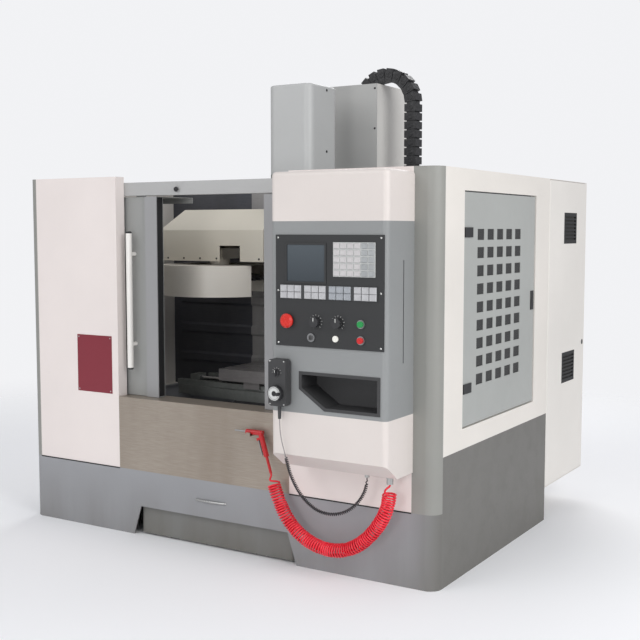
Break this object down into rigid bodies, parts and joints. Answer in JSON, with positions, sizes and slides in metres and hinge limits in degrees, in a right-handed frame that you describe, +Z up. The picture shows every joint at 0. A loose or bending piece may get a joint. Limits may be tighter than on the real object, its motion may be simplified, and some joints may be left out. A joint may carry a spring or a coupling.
{
  "type": "cnc milling machine",
  "caption": "Enclosed vertical machining centre with sliding doors, side operator station, hanging handwheel, coiled air line, tool magazine and rear electrical cabinet.",
  "frame": {"origin": "on the floor under the middle of the machine's outer box", "axes": "+X to the operator's right, +Y from the operator to the rear, +Z up"},
  "size_m": [2.52, 2.402, 2.5553],
  "materials": {
    "guard_white": "satin",
    "base_grey": "satin",
    "post_grey": "satin",
    "station_grey": "satin",
    "stainless": "brushed",
    "casting": "painted",
    "ground_steel": "ground",
    "motor_black": "matt",
    "black_plastic": "matt",
    "rubber_black": "matt",
    "magazine_beige": "satin",
    "window": "clear",
    "screen_glass": "gloss",
    "tube_white": "gloss",
    "red_plastic": "gloss",
    "green_plastic": "gloss",
    "hose_red": "gloss",
    "cord_grey": "matt",
    "nickel": "polished",
    "drive_grey": "matt"
  },
  "bodies": {
    "frame": {"base_plinth": "base_grey", "coolant_tank": "base_grey", "bed_casting": "casting", "column_casting": "casting", "axis_motors": "motor_black", "front_panels": "guard_white", "corner_posts": "post_grey", "side_panels": "guard_white", "rear_wall": "stainless", "cable_chain": "black_plastic", "z_bellows": "rubber_black", "y_bellows": "rubber_black", "magazine_bracket": "casting", "magazine_cover": "magazine_beige", "front_apron": "stainless", "door_header": "post_grey", "cabinet_shell": "guard_white", "drive_rack": "drive_grey", "pod_covers": "guard_white", "pod_body": "station_grey", "tray_pocket": "black_plastic", "control_panel": "black_plastic", "screen": "screen_glass", "pendant_body": "black_plastic", "cord_glands": "nickel", "mpg_lead": "cord_grey", "mpg_curl": "cord_grey", "air_hose": "hose_red", "air_gun": "red_plastic"},
    "y_screw": {"y_screw": "ground_steel"},
    "z_screw": {"z_screw": "ground_steel"},
    "saddle": {"saddle": "casting", "x_motor": "motor_black"},
    "x_screw": {"x_screw": "ground_steel"},
    "table": {"table": "ground_steel"},
    "head": {"head_casting": "casting", "spindle_cartridge": "ground_steel", "spindle_motor": "motor_black", "motor_cover": "guard_white"},
    "spindle": {"spindle_shaft": "ground_steel"},
    "magazine_carriage": {"magazine_carriage": "magazine_beige"},
    "magazine_disc": {"magazine_disc": "ground_steel"},
    "door_left": {"door_left": "station_grey", "door_left_window": "window", "door_left_handle": "tube_white"},
    "door_right": {"door_right": "station_grey", "door_right_window": "window", "door_right_handle": "tube_white"},
    "side_door": {"side_door": "station_grey"},
    "cabinet_door": {"cabinet_door": "guard_white", "fan_grilles": "black_plastic"},
    "e_stop": {"e_stop": "red_plastic"},
    "start_button": {"start_button": "green_plastic"},
    "stop_button": {"stop_button": "red_plastic"},
    "key_switch": {"key_switch": "nickel"},
    "feed_knob": {"feed_knob": "black_plastic"},
    "rate_knob": {"rate_knob": "black_plastic"},
    "pendant_wheel": {"pendant_wheel": "black_plastic"},
    "pendant_knob": {"pendant_knob": "black_plastic"},
    "air_gun_lever": {"air_gun_lever": "nickel"}
  },
  "joints": [
    {"name": "y_axis", "type": "slide", "parent": "frame", "child": "saddle", "axis": [0, 1, 0], "range_m": [-0.225, 0.16], "deforming": ["y_bellows"]},
    {"name": "x_axis", "type": "slide", "parent": "saddle", "child": "table", "axis": [1, 0, 0], "range_m": [-0.325, 0.325]},
    {"name": "z_axis", "type": "slide", "parent": "frame", "child": "head", "axis": [0, 0, 1], "range_m": [-0.5, 0], "deforming": ["cable_chain", "z_bellows"]},
    {"name": "x_screw_turn", "type": "hinge", "parent": "saddle", "child": "x_screw", "pos_m": [0, 0.011, 0.722], "axis": [1, 0, 0], "continuous": true},
    {"name": "y_screw_turn", "type": "hinge", "parent": "frame", "child": "y_screw", "pos_m": [0, 0, 0.575], "axis": [0, 1, 0], "continuous": true},
    {"name": "z_screw_turn", "type": "hinge", "parent": "frame", "child": "z_screw", "pos_m": [0, 0.536, 1.5], "axis": [0, 0, 1], "continuous": true},
    {"name": "spindle_turn", "type": "hinge", "parent": "head", "child": "spindle", "pos_m": [0, 0.011, 1.5], "axis": [0, 0, 1], "continuous": true},
    {"name": "door_left_slide", "type": "slide", "parent": "frame", "child": "door_left", "axis": [1, 0, 0], "range_m": [0, 0.339]},
    {"name": "door_right_slide", "type": "slide", "parent": "frame", "child": "door_right", "axis": [-1, 0, 0], "range_m": [0, 0.339]},
    {"name": "magazine_slide", "type": "slide", "parent": "frame", "child": "magazine_carriage", "axis": [1, 0, 0], "range_m": [0, 0.28]},
    {"name": "magazine_turn", "type": "hinge", "parent": "magazine_carriage", "child": "magazine_disc", "pos_m": [-0.586, 0.011, 1.34], "axis": [0, 0, 1], "continuous": true},
    {"name": "side_door_hinge", "type": "hinge", "parent": "frame", "child": "side_door", "pos_m": [1.244, -0.573, 1.25], "axis": [0, 0, -1], "range_deg": [0, 90]},
    {"name": "cabinet_door_hinge", "type": "hinge", "parent": "frame", "child": "cabinet_door", "pos_m": [1.249, 0.568, 1.04], "axis": [0, 0, -1], "range_deg": [0, 90]},
    {"name": "e_stop_press", "type": "slide", "parent": "frame", "child": "e_stop", "axis": [0, 1, 0], "range_m": [0, 0.005], "stiffness_N_per_m": 1200},
    {"name": "start_press", "type": "slide", "parent": "frame", "child": "start_button", "axis": [0, 1, 0], "range_m": [0, 0.004], "stiffness_N_per_m": 900},
    {"name": "stop_press", "type": "slide", "parent": "frame", "child": "stop_button", "axis": [0, 1, 0], "range_m": [0, 0.004], "stiffness_N_per_m": 900},
    {"name": "key_turn", "type": "hinge", "parent": "frame", "child": "key_switch", "pos_m": [0.764, -1.114, 1.147], "axis": [0, 1, 0], "range_deg": [0, 60]},
    {"name": "feed_override", "type": "hinge", "parent": "frame", "child": "feed_knob", "pos_m": [0.787, -1.114, 1.217], "axis": [0, 1, 0], "range_deg": [-135, 135]},
    {"name": "rate_override", "type": "hinge", "parent": "frame", "child": "rate_knob", "pos_m": [0.9, -1.114, 1.217], "axis": [0, 1, 0], "range_deg": [-135, 135]},
    {"name": "handwheel_turn", "type": "hinge", "parent": "frame", "child": "pendant_wheel", "pos_m": [0.61, -1.161, 0.893], "axis": [0, 1, 0], "continuous": true},
    {"name": "axis_select", "type": "hinge", "parent": "frame", "child": "pendant_knob", "pos_m": [0.61, -1.161, 0.985], "axis": [0, 1, 0], "range_deg": [-90, 90]},
    {"name": "gun_trigger", "type": "hinge", "parent": "frame", "child": "air_gun_lever", "pos_m": [0.31935, -0.88755, 0.60525], "axis": [-0.0773, -0.9833, 0.1647], "range_deg": [0, 3], "stiffness_Nm_per_rad": 0.6}
  ],
  "couplings": [
    {"joint": "x_screw_turn", "follows": "x_axis", "rad_per_m": 392.7},
    {"joint": "y_screw_turn", "follows": "y_axis", "rad_per_m": 392.7},
    {"joint": "z_screw_turn", "follows": "z_axis", "rad_per_m": 392.7}
  ]
}
